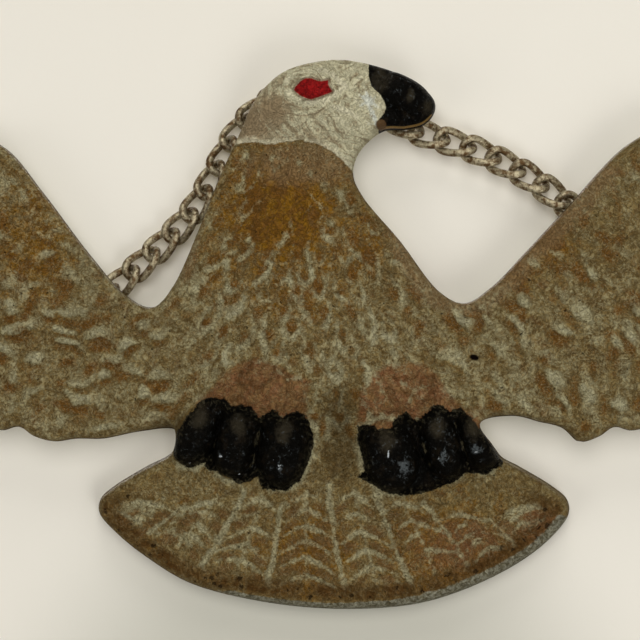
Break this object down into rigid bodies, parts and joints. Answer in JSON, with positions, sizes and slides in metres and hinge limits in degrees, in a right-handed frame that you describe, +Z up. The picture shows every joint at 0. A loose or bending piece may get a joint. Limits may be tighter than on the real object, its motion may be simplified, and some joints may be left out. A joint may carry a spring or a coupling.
{
  "type": "wall eagle",
  "caption": "Small cast metal wall plaque of a spread eagle, cold-painted, hanging by a curb chain from two cast eyes behind its wings.",
  "frame": {"origin": "the nail: the point on the wall inside the chain's top link", "axes": "+Z up, +X to the viewer's right, the bird faces -Y, and the wall is the plane y = 0 behind it"},
  "size_m": [0.2186, 0.0186, 0.1471],
  "materials": {
    "painted_casting": "cold paint on a light-alloy casting: olive brown with a pale wash in the carving, off-white head, black beak and claws, red eye",
    "chain_wire": "dull tarnished nickel plate"
  },
  "bodies": {
    "root": {"eagle": "painted_casting", "chain_link_01": "chain_wire", "chain_link_02": "chain_wire", "chain_link_03": "chain_wire", "chain_link_04": "chain_wire", "chain_link_05": "chain_wire", "chain_link_06": "chain_wire", "chain_link_07": "chain_wire", "chain_link_08": "chain_wire", "chain_link_09": "chain_wire", "chain_link_10": "chain_wire", "chain_link_11": "chain_wire", "chain_link_12": "chain_wire", "chain_link_13": "chain_wire", "chain_link_14": "chain_wire", "chain_link_15": "chain_wire", "chain_link_16": "chain_wire", "chain_link_17": "chain_wire", "chain_link_18": "chain_wire", "chain_link_19": "chain_wire", "chain_link_20": "chain_wire", "chain_link_21": "chain_wire", "chain_link_22": "chain_wire", "chain_link_23": "chain_wire", "chain_link_24": "chain_wire", "chain_link_25": "chain_wire"}
  },
  "joints": []
}
